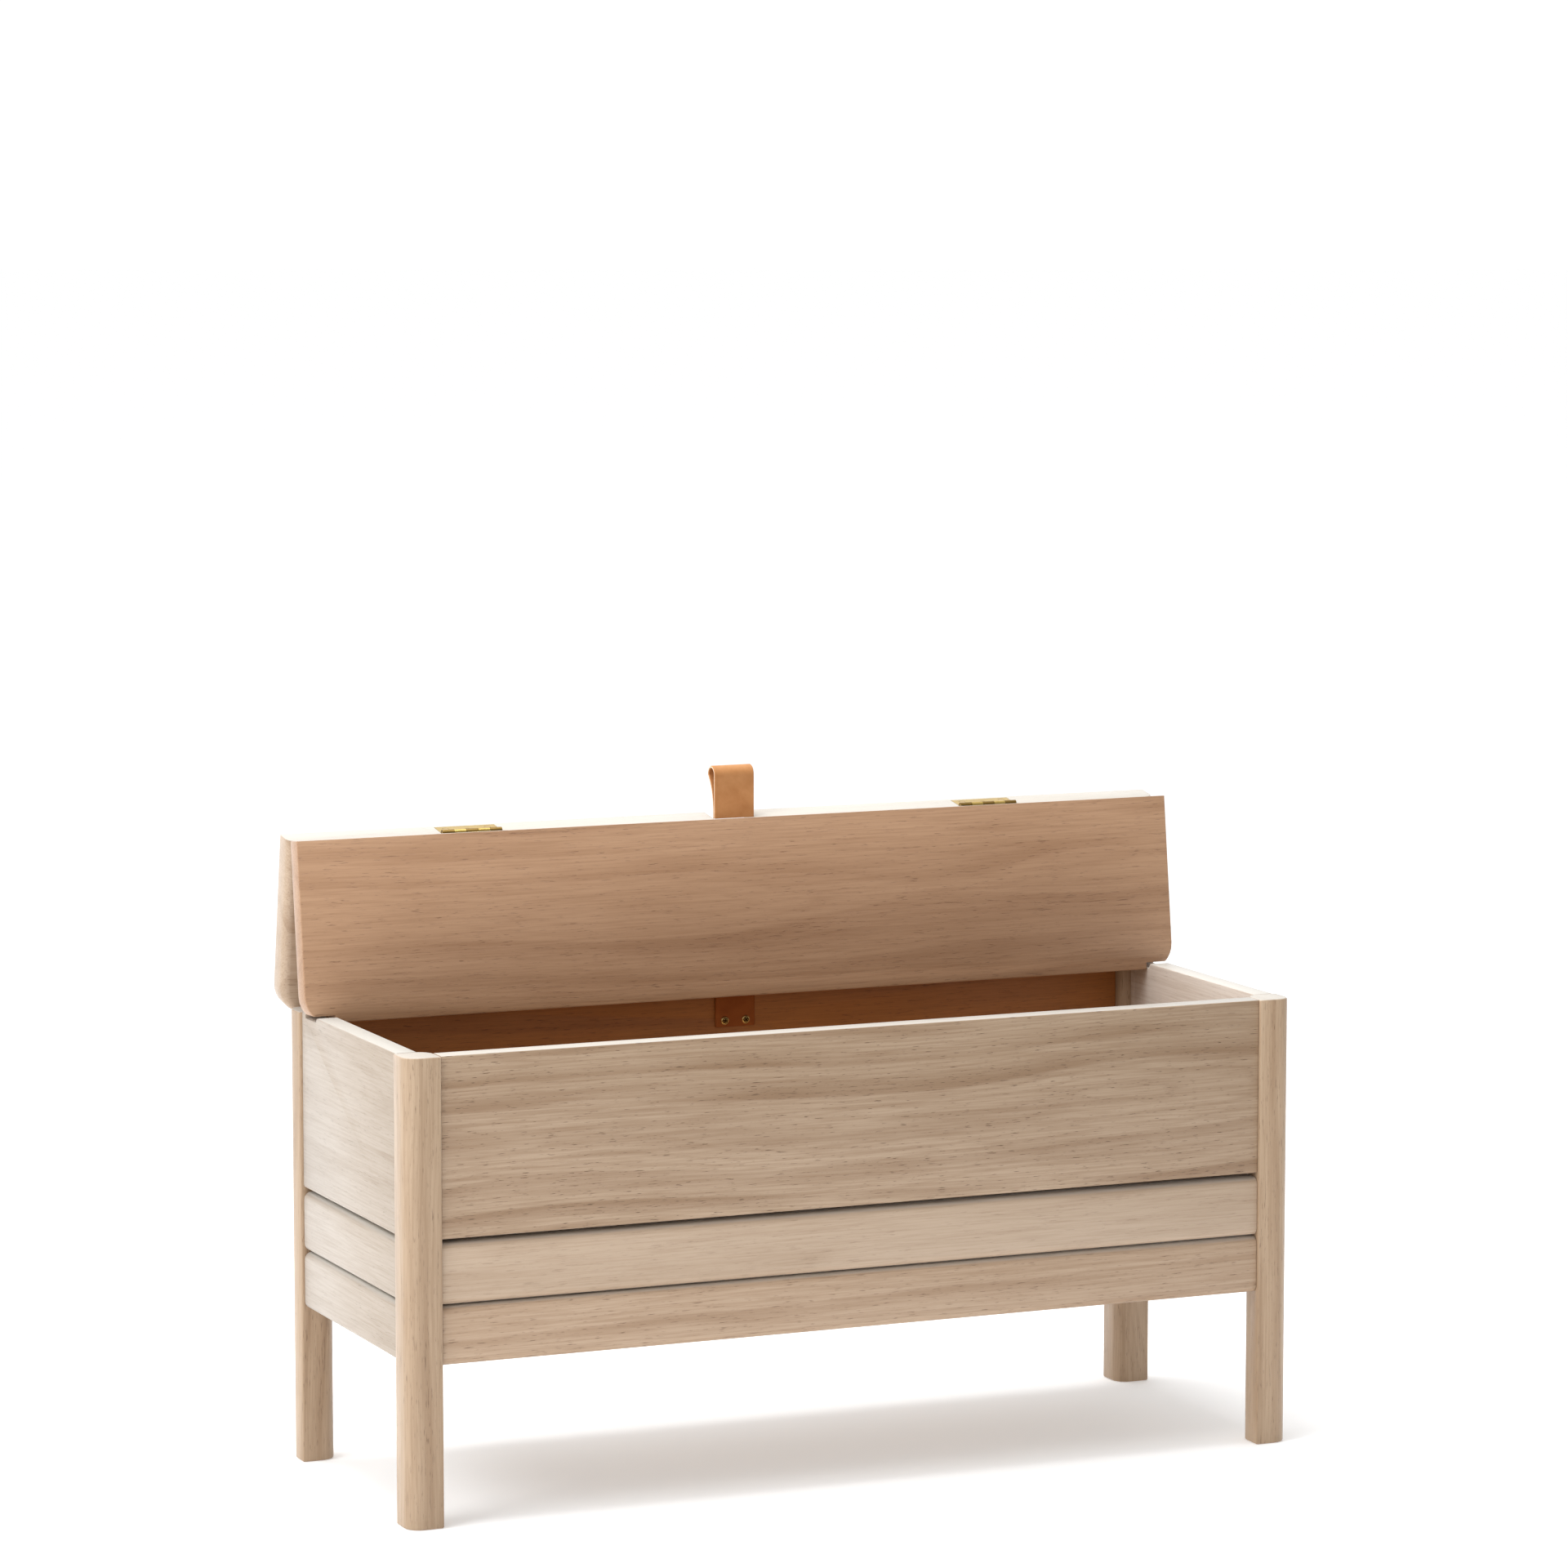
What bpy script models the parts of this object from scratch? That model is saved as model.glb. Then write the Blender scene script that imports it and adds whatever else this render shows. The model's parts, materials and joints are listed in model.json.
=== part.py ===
"""Storage bench: four oak legs, boarded sides, a floor panel and a two-board folding lid.

The lid is shown standing open as a tent. +X runs along the bench, -Y is its front and +Z is up.
The origin is on the floor, under the middle of the whole object's box.
"""
import math

import bmesh
import bpy
from mathutils import Matrix, Vector

# ---- driving dimensions, in metres --------------------------------------------------------------
GAP = 0.0003                    # air between pieces that touch
CUT_MARGIN = 0.005              # how far a cutter reaches past the surface it opens
FRAME_LENGTH = 0.890            # over the legs, along X
FRAME_DEPTH = 0.327             # over the legs, along Y
BOX_HEIGHT = 0.428              # tops of the legs and of the tall panels
MODEL_SHIFT_Y = -0.0134         # from the frame's middle to the middle of the open bench's box

LEG_SIDE = 0.034
LEG_OUTER_RADIUS = 0.0145       # the corner that faces away from the bench
LEG_INNER_RADIUS = 0.014        # the corner that faces the storage space
LEG_EDGE_RADIUS = 0.002
LEG_END_CHAMFER = 0.001

BOARD_THICKNESS = 0.020         # tall panels and slats
BOARD_RECESS = 0.003            # from a leg's outer face to a board's
TALL_BOTTOM = 0.262
MID_BOTTOM = 0.2022
MID_TOP = 0.258
LOW_BOTTOM = 0.147
LOW_TOP = 0.2008
SLAT_EDGE_RADIUS = 0.007
TALL_LOWER_RADIUS = 0.003
RIM_EDGE_RADIUS = 0.0012

TENONS = {                      # board kind: (heights of its tenons' middles, their width)
    "tall": ((0.305, 0.388), 0.034),
    "mid": ((0.2308,), 0.030),
    "low": ((0.1733,), 0.030),
}
TENON_THICKNESS = 0.008
TENON_DEPTH = 0.013             # into the leg
TENON_ROOT = 0.006              # overlap of a tenon with its board

SLOT_FRONT_Y = 0.089            # the notch in each side panel's rim that the open lid stands in
SLOT_REAR_Y = 0.1195
SLOT_DEPTH = 0.0045
SLOT_CORNER_RADIUS = 0.003

LID_LENGTH = 0.901
LID_BOARD_WIDTH = 0.1702
LID_THICKNESS = 0.025
LID_CORNER_RADIUS = 0.025
LID_UNDER_RADIUS = 0.008
LID_TOP_RADIUS = 0.0012
LID_LIFT = 0.0034               # the closed lid stands this far above the rim, on its bumpers
LID_REAR_OVERHANG = 0.0050      # the closed lid's rear edge beyond the rear legs
LID_EDGE_STEPS = 4              # chords in the rounding of a lid board's lower edge
OPEN_FOOT_BEHIND = 0.0023       # the open rear board's lower inner edge, behind the rear legs
OPEN_FOOT_BELOW = 0.0085        # and below their tops
REAR_LEAN = math.radians(9.0)   # the open rear board leans forward at its top
FRONT_LEAN = math.radians(7.3)  # the open front board leans back at its top
FOOT_CUT_FRONT = 0.110          # the relief over each side rim, ahead of the legs' rear faces
FOOT_CUT_REAR = 0.030
FOOT_CUT_HEIGHT = 0.0006        # its top, above the rims
FOOT_CUT_SIDE = 0.0008          # its inner end, inside the side panels' inner faces

HINGE_X = 0.269                 # both pairs of hinges, from the middle
HINGE_LENGTH = 0.060
LEAF_THICKNESS = 0.0020
LEAF_WIDTH = 0.021
KNUCKLES = 5
PIN_RADIUS = 0.0012
PIN_CLEARANCE = 0.0003
RIDGE_BARREL_RADIUS = 0.0032
REAR_BARREL_RADIUS = 0.0035
LEAF_SCREWS = ((-0.021, 0.014), (0.0, 0.010), (0.021, 0.014))   # along the pin, and from it

BUMPER_X = 0.360
BUMPER_SETBACK = {"front": 0.0205, "rear": 0.0170}      # from a lid board's outer edge
BUMPER_RADIUS = 0.005

STRAP_WIDTH = 0.041
STRAP_THICKNESS = 0.0024
LOOP_HEIGHT = 0.0503            # above the fold's axis
LOOP_DEPTH = 0.0180             # outside the leather, near the top
ANCHOR_BOTTOM = 0.3855
ANCHOR_TOP = 0.4265
STAY_BOTTOM = 0.4540
STAY_TOP_DROP = 0.022           # below the fold's axis
STAY_Y = 0.1383
LOOP_BOW = 2.8                  # how late the rear strand bows out, as a power of its height
LOOP_FOOT = 0.001               # the strands' lower ends, above the fold's axis
STRAND_GAP = 0.0001             # between the two strands at their feet
LOOP_STEPS = 8                  # chords in the round top, and in the rear strand
STRAP_SLOT_DEPTH = 0.0090       # of the slot in the rear board's mating edge
STRAP_SLOT_SIDE = 0.0006        # air on each side of the strap in it
STRAP_SCREW_SPACING = 0.0218
STRAP_SCREW_HEIGHT = 0.3915
STRAP_SCREW_SINK = 0.0002       # of a head below the leather's face

FLOOR_TOP = 0.2655              # the panel's edge backs the gap under the tall panels
FLOOR_THICKNESS = 0.009
CLEAT_WIDTH = 0.018
CLEAT_HEIGHT = 0.010
CLEAT_END_GAP = 0.020           # from a cleat's end to the leg

HINGE_SCREW_RADIUS = 0.0030
STRAP_SCREW_RADIUS = 0.0040
SCREW_SHANK_RADIUS = 0.0014
SCREW_HEAD_DEPTH = 0.0016
SCREW_LENGTH = 0.0140
SCREW_POINT = 0.0030            # length of the tapered end
SCREW_TIP_RADIUS = 0.0004
COUNTERSINK_LEAD = 0.0030       # a screw's hole is cleared this far in front of its head
HEAD_SINK = 0.0001              # of a hinge screw below the leaf's face
SCREW_SEGMENTS = 10
ROUND_SEGMENTS = 16
SMALL_RADIUS = 0.003            # a rounding up to this gets SMALL_STEPS chords
SMALL_STEPS = 2
SMOOTH_ANGLE = math.radians(35)

# ---- worked out from the driving dimensions -----------------------------------------------------
HALF_LENGTH = FRAME_LENGTH / 2
HALF_DEPTH = FRAME_DEPTH / 2
LEG_X = HALF_LENGTH - LEG_SIDE / 2
LEG_Y = HALF_DEPTH - LEG_SIDE / 2
FRONT_SPAN = FRAME_LENGTH - 2 * LEG_SIDE
SIDE_SPAN = FRAME_DEPTH - 2 * LEG_SIDE
FOLD_FACE = GAP / 2             # from the fold's axis to each board's mating edge
INNER_X = HALF_LENGTH - BOARD_RECESS - BOARD_THICKNESS
INNER_Y = HALF_DEPTH - BOARD_RECESS - BOARD_THICKNESS
MID_BOARD_X = INNER_X + BOARD_THICKNESS / 2
MID_BOARD_Y = INNER_Y + BOARD_THICKNESS / 2
OPENING_ANGLE = math.pi / 2 - REAR_LEAN


def lid_geometry():
    """Rear hinge axis and fold axis of the open lid, as (y, z) in the frame's own middle plane.

    The closed board lies at LID_LIFT over the rim; the open one stands behind the rear legs.
    The hinge axis is the one point about which OPENING_ANGLE carries the first place to the second.
    """
    closed = Vector((HALF_DEPTH + LID_REAR_OVERHANG, BOX_HEIGHT + LID_LIFT))
    opened = Vector((HALF_DEPTH + OPEN_FOOT_BEHIND, BOX_HEIGHT - OPEN_FOOT_BELOW))
    turn = Matrix.Rotation(-OPENING_ANGLE, 2)
    hinge = (Matrix.Identity(2) - turn).inverted() @ (opened - turn @ closed)
    fold = opened + LID_BOARD_WIDTH * Vector((-math.sin(REAR_LEAN), math.cos(REAR_LEAN)))
    return hinge, fold


HINGE_AXIS, FOLD_AXIS = lid_geometry()


# ---- general helpers ----------------------------------------------------------------------------
def clear_scene():
    for obj in list(bpy.data.objects):
        bpy.data.objects.remove(obj, do_unlink=True)


def make_material(name, colour, roughness, metallic=0.0):
    material = bpy.data.materials.new(name)
    material.use_nodes = True
    shader = material.node_tree.nodes["Principled BSDF"]
    shader.inputs["Base Color"].default_value = (*colour, 1.0)
    shader.inputs["Roughness"].default_value = roughness
    shader.inputs["Metallic"].default_value = metallic
    material.diffuse_color = (*colour, 1.0)
    return material


def add_object(name, bm, material, smooth=False):
    bmesh.ops.recalc_face_normals(bm, faces=bm.faces)
    mesh = bpy.data.meshes.new(name)
    bm.to_mesh(mesh)
    bm.free()
    if material:
        mesh.materials.append(material)
    if smooth:
        mesh.shade_smooth()
        mesh.set_sharp_from_angle(angle=SMOOTH_ANGLE)
    obj = bpy.data.objects.new(name, mesh)
    bpy.context.scene.collection.objects.link(obj)
    return obj


def add_tool(name, bm):
    """A cutter, or a shape to be joined: not part of the object by itself."""
    obj = add_object(name, bm, None)
    obj.hide_render = True
    obj.display_type = "WIRE"
    return obj


def boolean(target, tool, operation="DIFFERENCE"):
    modifier = target.modifiers.new(operation.title(), "BOOLEAN")
    modifier.operation = operation
    modifier.solver = "EXACT"
    modifier.object = tool


def add_box(bm, low, high):
    corners = [[bm.verts.new((x, y, z)) for x in (low[0], high[0]) for y in (low[1], high[1])]
               for z in (low[2], high[2])]
    (a, b, c, d), (e, f, g, h) = corners
    for face in ((a, c, d, b), (e, f, h, g), (a, b, f, e), (b, d, h, f), (d, c, g, h), (c, a, e, g)):
        bm.faces.new(face)


def loft(bm, rings, matrix=Matrix.Identity(4)):
    """Closed solid through rings of equally many points, capped at both ends."""
    loops = [[bm.verts.new(matrix @ Vector(point)) for point in ring] for ring in rings]
    count = len(loops[0])
    for lower, upper in zip(loops, loops[1:]):
        for i in range(count):
            j = (i + 1) % count
            bm.faces.new((lower[i], lower[j], upper[j], upper[i]))
    bm.faces.new(list(reversed(loops[0])))
    bm.faces.new(loops[-1])


def arc(centre, radius, start, end, segments):
    """Points of an arc in the plane, angles in degrees."""
    points = []
    for i in range(segments + 1):
        angle = math.radians(start + (end - start) * i / segments)
        points.append((centre[0] + radius * math.cos(angle), centre[1] + radius * math.sin(angle)))
    return points


def rounded_rectangle(low, high, radii, segments=4):
    """Outline from the low-left corner, anticlockwise, with one radius for each corner."""
    corners = [(low[0], low[1], 1, 1, 180), (high[0], low[1], -1, 1, 270),
               (high[0], high[1], -1, -1, 0), (low[0], high[1], 1, -1, 90)]
    outline = []
    for (x, y, sx, sy, start), radius in zip(corners, radii):
        if radius <= 0:
            outline.append((x, y))
        else:
            steps = segments if radius > SMALL_RADIUS else SMALL_STEPS
            outline += arc((x + sx * radius, y + sy * radius), radius, start, start + 90, steps)
    return outline


def add_rod(bm, start, direction, profile, segments):
    """Turned solid along a line: profile holds (distance along it, radius) pairs."""
    turn = Vector((0, 0, 1)).rotation_difference(Vector(direction)).to_matrix().to_4x4()
    place = Matrix.Translation(start) @ turn
    rings = []
    for along, radius in profile:
        rings.append([(radius * math.cos(math.tau * i / segments),
                       radius * math.sin(math.tau * i / segments), along) for i in range(segments)])
    loft(bm, rings, place)


def in_frame(y, z):
    """A point given from the frame's middle plane, in the model's own frame."""
    return (y + MODEL_SHIFT_Y, z)


# ---- legs and boards ----------------------------------------------------------------------------
def leg_outline(sx, sy, inset):
    half = LEG_SIDE / 2 - inset
    radii = [LEG_OUTER_RADIUS - inset, LEG_EDGE_RADIUS - inset,
             LEG_INNER_RADIUS - inset, LEG_EDGE_RADIUS - inset]
    outline = rounded_rectangle((-half, -half), (half, half), radii, segments=6)
    return [(-sx * x, -sy * y) for x, y in outline]


def make_leg(name, sx, sy):
    bm = bmesh.new()
    levels = ((0, LEG_END_CHAMFER), (LEG_END_CHAMFER, 0),
              (BOX_HEIGHT - LEG_END_CHAMFER, 0), (BOX_HEIGHT, LEG_END_CHAMFER))
    centre = Matrix.Translation((sx * LEG_X, sy * LEG_Y + MODEL_SHIFT_Y, 0))
    rings = [[(x, y, z) for x, y in leg_outline(sx, sy, inset)] for z, inset in levels]
    loft(bm, rings, centre)
    return add_object(name, bm, OAK_LEG, smooth=True)


SIDES = {  # side name: (turn about Z, clear span between legs, middle plane of its boards)
    "front": (0.0, FRONT_SPAN, (0.0, -MID_BOARD_Y)),
    "right": (math.pi / 2, SIDE_SPAN, (MID_BOARD_X, 0.0)),
    "rear": (math.pi, FRONT_SPAN, (0.0, MID_BOARD_Y)),
    "left": (-math.pi / 2, SIDE_SPAN, (-MID_BOARD_X, 0.0)),
}


def side_matrix(side):
    """Takes (along the side, outward as -Y, up) into the model's frame."""
    turn, _span, (x, y) = SIDES[side]
    return Matrix.Translation((x, y + MODEL_SHIFT_Y, 0)) @ Matrix.Rotation(turn, 4, "Z")


def make_board(name, side, bottom, top, lower_radius, upper_radius):
    half = BOARD_THICKNESS / 2
    section = rounded_rectangle((-half, bottom), (half, top),
                                (lower_radius, LEG_END_CHAMFER, LEG_END_CHAMFER, upper_radius))
    reach = SIDES[side][1] / 2 - GAP
    rings = [[(x, y, z) for y, z in section] for x in (-reach, reach)]
    bm = bmesh.new()
    loft(bm, rings, side_matrix(side))
    return add_object(name, bm, OAK_BOARD, smooth=True)


def cut_slot(panel, side):
    """The notch near the rear of a side panel's rim, with a rounded upper edge at its front."""
    sign = 1 if side == "right" else -1
    radius = SLOT_CORNER_RADIUS
    bottom = BOX_HEIGHT - SLOT_DEPTH
    above = BOX_HEIGHT + CUT_MARGIN
    profile = [(SLOT_REAR_Y, above), (SLOT_REAR_Y, bottom), (SLOT_FRONT_Y, bottom)]
    lip = arc((SLOT_FRONT_Y - radius, BOX_HEIGHT - radius), radius, 0, 90, 4)
    profile += lip + [(SLOT_FRONT_Y - radius, above)]
    rings = []
    for x in (INNER_X - CUT_MARGIN, INNER_X + BOARD_THICKNESS + CUT_MARGIN):
        rings.append([(sign * x, *in_frame(y, z)) for y, z in profile])
    bm = bmesh.new()
    loft(bm, rings)
    boolean(panel, add_tool(f"cut_slot_{side}", bm))


# ---- mortise-and-tenon joints: each board's ends carry tenons that enter the legs ---------------
def add_tenons(bm, side, kind, ends, growth):
    """Tenons of one board, or with some growth the mortises for them."""
    heights, width = TENONS[kind]
    half_w = width / 2 + growth
    half_t = TENON_THICKNESS / 2 + growth
    place = side_matrix(side)
    for end in ends:
        near = SIDES[side][1] / 2 - (TENON_ROOT if growth == 0 else CUT_MARGIN)
        far = SIDES[side][1] / 2 + TENON_DEPTH + growth
        for height in heights:
            outline = rounded_rectangle((-half_t, height - half_w), (half_t, height + half_w), (0, 0, 0, 0))
            loft(bm, [[(end * x, y, z) for y, z in outline] for x in (near, far)], place)


def make_frame():
    """Legs, and boards by side and kind."""
    kinds = {
        "tall": ("panel", TALL_BOTTOM, BOX_HEIGHT, TALL_LOWER_RADIUS, RIM_EDGE_RADIUS),
        "mid": ("middle_slat", MID_BOTTOM, MID_TOP, SLAT_EDGE_RADIUS, SLAT_EDGE_RADIUS),
        "low": ("lower_slat", LOW_BOTTOM, LOW_TOP, SLAT_EDGE_RADIUS, SLAT_EDGE_RADIUS),
    }
    boards = {}
    for side in SIDES:
        for kind, (word, bottom, top, lower, upper) in kinds.items():
            board = make_board(f"{word}_{side}", side, bottom, top, lower, upper)
            boards[(side, kind)] = board
            bm = bmesh.new()
            add_tenons(bm, side, kind, (-1, 1), 0)
            boolean(board, add_tool(f"join_tenons_{word}_{side}", bm), "UNION")
    for sx, x_name in ((-1, "left"), (1, "right")):
        for sy, y_name in ((-1, "front"), (1, "rear")):
            leg = make_leg(f"leg_{y_name}_{x_name}", sx, sy)
            bm = bmesh.new()
            for kind in kinds:
                add_tenons(bm, y_name, kind, (sx if y_name == "front" else -sx,), GAP)
                add_tenons(bm, x_name, kind, (sy if x_name == "right" else -sy,), GAP)
            boolean(leg, add_tool(f"cut_mortises_{leg.name}", bm))
    for side in ("left", "right"):
        cut_slot(boards[(side, "tall")], side)
    return boards


# ---- screws -------------------------------------------------------------------------------------
def make_screw(name, head, direction, radius):
    """Countersunk screw: its flat head lies at head, and it points along direction."""
    profile = ((0, radius), (SCREW_HEAD_DEPTH, SCREW_SHANK_RADIUS),
               (SCREW_LENGTH - SCREW_POINT, SCREW_SHANK_RADIUS), (SCREW_LENGTH, SCREW_TIP_RADIUS))
    bm = bmesh.new()
    add_rod(bm, head, direction, profile, SCREW_SEGMENTS)
    return add_object(name, bm, BRASS, smooth=True)


def drill(name, piece, places, radius):
    """Countersunk clearance holes for screws, open above their heads."""
    lead = COUNTERSINK_LEAD
    wide = radius + GAP
    narrow = SCREW_SHANK_RADIUS + GAP
    profile = ((0, wide), (lead + HEAD_SINK, wide), (lead + SCREW_HEAD_DEPTH + GAP, narrow),
               (lead + SCREW_LENGTH + GAP, narrow))
    bm = bmesh.new()
    for head, direction in places:
        add_rod(bm, Vector(head) - lead * Vector(direction), direction, profile, SCREW_SEGMENTS)
    boolean(piece, add_tool(name, bm))


# ---- floor panel and its cleats -----------------------------------------------------------------
def make_floor():
    reach_x = INNER_X - GAP
    reach_y = INNER_Y - GAP
    leg_x = HALF_LENGTH - LEG_SIDE - GAP
    leg_y = HALF_DEPTH - LEG_SIDE - GAP
    outline = []
    for sx, sy in ((-1, -1), (1, -1), (1, 1), (-1, 1)):
        a, b, c = (sx * reach_x, sy * leg_y), (sx * leg_x, sy * leg_y), (sx * leg_x, sy * reach_y)
        outline += [a, b, c] if sx * sy > 0 else [c, b, a]
    bottom = FLOOR_TOP - FLOOR_THICKNESS
    bm = bmesh.new()
    loft(bm, [[(x, y + MODEL_SHIFT_Y, z) for x, y in outline] for z in (bottom, FLOOR_TOP)])
    add_object("floor_panel", bm, VENEER)

    top = bottom - GAP
    for side, (_turn, span, _middle) in SIDES.items():
        inner = BOARD_THICKNESS / 2 + GAP
        half = span / 2 - CLEAT_END_GAP
        rings = []
        outline = rounded_rectangle((inner, top - CLEAT_HEIGHT), (inner + CLEAT_WIDTH, top),
                                    (0, LEG_END_CHAMFER, 0, 0))
        for x in (-half, half):
            rings.append([(x, y, z) for y, z in outline])
        bm = bmesh.new()
        loft(bm, rings, side_matrix(side))
        add_object(f"floor_cleat_{side}", bm, OAK_BOARD)


# ---- lid boards ---------------------------------------------------------------------------------
def lid_frames():
    """Matrices from a board's own axes (along, from the fold to the outer edge, outward)."""
    fold = Vector((0, *in_frame(*FOLD_AXIS)))
    frames = {}
    for name, lean, sign in (("rear", REAR_LEAN, 1), ("front", FRONT_LEAN, -1)):
        along = Vector((sign, 0, 0))
        down = Vector((0, sign * math.sin(lean), -math.cos(lean)))
        out = Vector((0, sign * math.cos(lean), math.sin(lean)))
        turn = Matrix((along, down, out)).transposed().to_4x4()
        frames[name] = Matrix.Translation(fold) @ turn
    return frames


def lid_outline(inset):
    half = LID_LENGTH / 2 - inset
    edge = LID_BOARD_WIDTH - inset
    radius = LID_CORNER_RADIUS - inset
    right = arc((half - radius, edge - radius), radius, 0, 90, 7)
    left = arc((-half + radius, edge - radius), radius, 90, 180, 7)
    return [(half, FOLD_FACE)] + right + left + [(-half, FOLD_FACE)]


def make_lid_board(name, frame):
    levels = []
    for i in range(LID_EDGE_STEPS + 1):
        angle = math.radians(90 * i / LID_EDGE_STEPS)
        levels.append((LID_UNDER_RADIUS * (1 - math.cos(angle)),
                       LID_UNDER_RADIUS * (1 - math.sin(angle))))
    for i in range(3):
        angle = math.radians(90 * i / 2)
        levels.append((LID_THICKNESS - LID_TOP_RADIUS * (1 - math.sin(angle)),
                       LID_TOP_RADIUS * (1 - math.cos(angle))))
    bm = bmesh.new()
    loft(bm, [[(x, v, e) for x, v in lid_outline(inset)] for e, inset in levels], frame)
    return add_object(name, bm, OAK_LID, smooth=True)


def cut_foot_clearance(board):
    """Relief where the front board's foot passes over the side rims.

    The foot is the fold linkage's open pivot, so its two corners end just above the rims.
    """
    bm = bmesh.new()
    low_y = MODEL_SHIFT_Y + HALF_DEPTH - FOOT_CUT_FRONT
    high_y = MODEL_SHIFT_Y + HALF_DEPTH - FOOT_CUT_REAR
    for sign in (-1, 1):
        x = sorted((sign * (INNER_X - FOOT_CUT_SIDE), sign * (LID_LENGTH / 2 + CUT_MARGIN)))
        add_box(bm, (x[0], low_y, BOX_HEIGHT - LEG_SIDE),
                (x[1], high_y, BOX_HEIGHT + FOOT_CUT_HEIGHT))
    boolean(board, add_tool("cut_foot_clearance", bm))


# ---- hinges -------------------------------------------------------------------------------------
# A hinge's own axes are (along the pin, toward the leaf's free edge, through the leaf's thickness).
def basis(origin, along, toward, thickness):
    return Matrix.Translation(origin) @ Matrix((along, toward, thickness)).transposed().to_4x4()


def make_leaf(name, place, own, plate_low, plate_high, barrel_radius):
    """Half a butt hinge: a plate with the knuckles that own names rolled along its edge."""
    half = HINGE_LENGTH / 2
    step = HINGE_LENGTH / KNUCKLES
    root = barrel_radius + 2 * GAP
    edge = []
    for index in range(KNUCKLES):
        shrink = GAP / 2 if index in own else -GAP / 2
        low = max(-half, -half + index * step + shrink)
        high = min(half, -half + (index + 1) * step - shrink)
        reach = 0.0 if index in own else root
        edge += [(low, reach), (high, reach)]
    outline = [(-half, LEAF_WIDTH), (half, LEAF_WIDTH)] + list(reversed(edge))
    bm = bmesh.new()
    loft(bm, [[(x, u, w) for x, u in outline] for w in (plate_low, plate_high)], place)
    leaf = add_object(name, bm, BRASS, smooth=True)
    along = place.to_3x3() @ Vector((1, 0, 0))
    bm = bmesh.new()
    for index in own:
        low = -half + index * step + GAP / 2
        add_rod(bm, place @ Vector((low, 0, 0)), along,
                ((0, barrel_radius), (step - GAP, barrel_radius)), ROUND_SEGMENTS)
    boolean(leaf, add_tool(f"join_knuckles_{name}", bm), "UNION")
    bm = bmesh.new()
    bore = PIN_RADIUS + PIN_CLEARANCE
    add_rod(bm, place @ Vector((-half - CUT_MARGIN, 0, 0)), along,
            ((0, bore), (HINGE_LENGTH + 2 * CUT_MARGIN, bore)), SCREW_SEGMENTS)
    boolean(leaf, add_tool(f"cut_bore_{name}", bm))
    return leaf


def make_pin(name, centre):
    bm = bmesh.new()
    length = HINGE_LENGTH - GAP
    add_rod(bm, centre - Vector((length / 2, 0, 0)), (1, 0, 0),
            ((0, PIN_RADIUS), (length, PIN_RADIUS)), SCREW_SEGMENTS)
    return add_object(name, bm, BRASS, smooth=True)


def cut_pocket(name, board, place, near, far, low, high):
    """Let-in as long as a hinge, from near to far across it and from low to high in depth."""
    half = HINGE_LENGTH / 2 + GAP
    bm = bmesh.new()
    add_box(bm, (-half, near, low), (half, far, high))
    bmesh.ops.transform(bm, matrix=place, verts=bm.verts)
    boolean(board, add_tool(name, bm))


def make_ridge_hinges(boards, frames):
    """Butt hinges let into the two mating edges, with their pins on the fold's axis."""
    nodes = {"front": [], "rear": []}
    clear = RIDGE_BARREL_RADIUS + GAP
    low = -FOLD_FACE - LEAF_THICKNESS
    for sign, word in ((-1, "left"), (1, "right")):
        centre = frames["rear"] @ Vector((sign * HINGE_X, 0, 0))
        nodes["rear"].append(make_pin(f"ridge_hinge_{word}_pin", centre))
        for side, own in (("front", (0, 2, 4)), ("rear", (1, 3))):
            turn = frames[side].to_3x3()
            place = basis(centre, turn @ Vector((1, 0, 0)), turn @ Vector((0, 0, 1)),
                          turn @ Vector((0, -1, 0)))
            name = f"ridge_hinge_{word}_{side}_leaf"
            leaf = make_leaf(name, place, own, low, -FOLD_FACE, RIDGE_BARREL_RADIUS)
            cut_pocket(f"cut_leaf_{name}", boards[side], place, -clear, LEAF_WIDTH + GAP,
                       low - GAP, CUT_MARGIN)
            cut_pocket(f"cut_barrel_{name}", boards[side], place, -clear - GAP, clear,
                       -clear, CUT_MARGIN + GAP)
            nodes[side].append(leaf)
            into = turn @ Vector((0, 1, 0))
            places = []
            for index, (x, up) in enumerate(LEAF_SCREWS, start=1):
                head = place @ Vector((x, up, -FOLD_FACE - HEAD_SINK))
                places.append((head, into))
                nodes[side].append(make_screw(f"ridge_hinge_{word}_{side}_screw_{index}",
                                              head, into, HINGE_SCREW_RADIUS))
            drill(f"drill_{name}", leaf, places, HINGE_SCREW_RADIUS)
            drill(f"drill_{side}_board_{word}", boards[side], places, HINGE_SCREW_RADIUS)
    return nodes


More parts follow.
